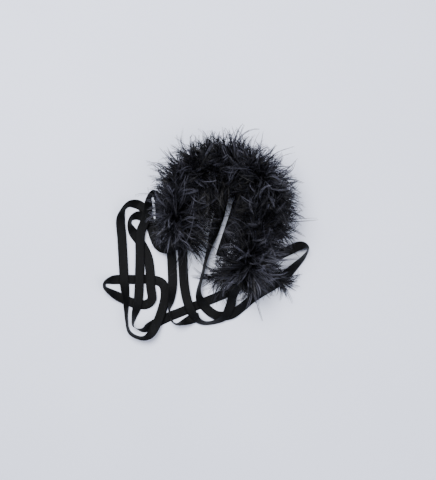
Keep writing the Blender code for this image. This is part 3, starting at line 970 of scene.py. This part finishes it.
# %% [markdown]
# ## What lies inside the plumes
#
# The twisted cotton core, the split quills, the thread that whips their butts down, the cloth
# round the two ends and the stitches of the ties hardly show. They keep the shape of the packed
# pieces and get fibre or horn materials, all dyed black, so that a gap between barbs looks right.

# %% Materials for the pieces inside the plumes


def make_thread_material(name, low, high, roughness, scale):
    """Wound or twisted fibre: mottled colour and a fine bump."""
    material, tree, shader = new_material(name, roughness, Sheen_Weight=0.3)
    mottle = use_group(tree, MOTTLE, Scale=scale, Detail=4.0)
    tree.links.new(ramp_colour(tree, mottle.outputs["Mottle"], low, high), shader.inputs["Base Color"])
    add_bump(tree, shader, mottle.outputs["Mottle"], 0.6, 0.0003)
    return material


INNER_FINISHES = {
    "core_cord": ("core_cotton_twist", (0.02, 0.02, 0.022), (0.06, 0.06, 0.065), 0.9, 700.0),
    "quill": ("quill_horn_dyed", (0.012, 0.011, 0.011), (0.04, 0.036, 0.034), 0.45, 260.0),
    "whipping": ("binding_thread_black", (0.006, 0.006, 0.007), (0.02, 0.02, 0.022), 0.55, 1500.0),
    "end_wrap": ("end_wrap_cloth", (0.011, 0.0115, 0.013), (0.024, 0.0245, 0.028), 0.6, 900.0),
    "bar_tack": ("bar_tack_thread", (0.006, 0.006, 0.007), (0.02, 0.02, 0.022), 0.5, 1500.0),
}
inner_materials = {family: make_thread_material(*finish) for family, finish in INNER_FINISHES.items()}
for name, node in frame["nodes"].items():
    for family, material in inner_materials.items():
        if name.startswith(family):
            node.material_slots[0].material = material
print("inner materials:", [material.name for material in inner_materials.values()])

# %% [markdown]
# ## Floor and light
#
# A pale floor, two large soft lights and a pale, dim room. The key is high on one side, so that
# the ribbons' standing edges and the locks of barbs throw soft shade on the floor. The floor is a
# wide disc whose rim sweeps up, as paper does in a studio, so a low view finds no horizon.

# %% Floor
FLOOR_DARK, FLOOR_LIGHT = (0.75, 0.785, 0.925), (0.79, 0.825, 0.965)
FLOOR_FLAT = 2.6
COVE_RADIUS = 0.9
WALL_HEIGHT = 3.2
COVE_SIDES = 96
COVE_STEP = 9


def make_studio_floor():
    """A flat round floor whose rim sweeps up into a plain wall, so no horizon shows."""
    bend = [math.radians(angle) for angle in range(0, 91, COVE_STEP)]
    profile = [(FLOOR_FLAT + COVE_RADIUS * math.sin(t), COVE_RADIUS * (1 - math.cos(t))) for t in bend]
    profile.append((FLOOR_FLAT + COVE_RADIUS, WALL_HEIGHT))
    turns = [2 * math.pi * k / COVE_SIDES for k in range(COVE_SIDES)]
    verts = [(r * math.cos(t), r * math.sin(t), z) for r, z in profile for t in turns]
    faces = [tuple(range(COVE_SIDES))]
    for ring in range(len(profile) - 1):
        for k in range(COVE_SIDES):
            near, far = ring * COVE_SIDES, (ring + 1) * COVE_SIDES
            after = (k + 1) % COVE_SIDES
            faces.append((near + k, far + k, far + after, near + after))
    mesh = bpy.data.meshes.new("floor")
    mesh.from_pydata(verts, [], faces)
    mesh.shade_smooth()
    mesh.polygons[0].use_smooth = False
    return mesh


floor_material, floor_tree, floor_shader = new_material("pale_floor", 0.8)
floor_mottle = use_group(floor_tree, MOTTLE, Scale=3.0, Detail=2.0)
floor_colour = ramp_colour(floor_tree, floor_mottle.outputs["Mottle"], FLOOR_DARK, FLOOR_LIGHT)
floor_tree.links.new(floor_colour, floor_shader.inputs["Base Color"])
floor = add_object("floor", make_studio_floor(), floor_material)
print("floor:", len(floor.data.polygons), "faces")

# %% Lights and the room round them
ROOM_COLOUR, ROOM_STRENGTH = (0.92, 0.94, 1.0, 1), 0.36


def add_soft_light(name, place, size, power, target):
    """A square area light aimed at the boa."""
    data = bpy.data.lights.new(name, "AREA")
    data.energy = power
    data.size = size
    lamp = bpy.data.objects.new(name, data)
    lamp.location = place
    lamp.rotation_euler = (Vector(target) - Vector(place)).to_track_quat("-Z", "Y").to_euler()
    bpy.context.scene.collection.objects.link(lamp)


add_soft_light("key_light", (-0.5, 0.6, 1.8), 1.1, 76, middle)
add_soft_light("fill_light", (0.9, -0.5, 1.6), 1.4, 20, middle)
world = bpy.data.worlds.new("soft_room")
world.use_nodes = True
room = world.node_tree.nodes["Background"]
room.inputs["Color"].default_value = ROOM_COLOUR
room.inputs["Strength"].default_value = ROOM_STRENGTH
bpy.context.scene.world = world
print("lights:", [light.name for light in bpy.data.lights], "and a room of strength", ROOM_STRENGTH)
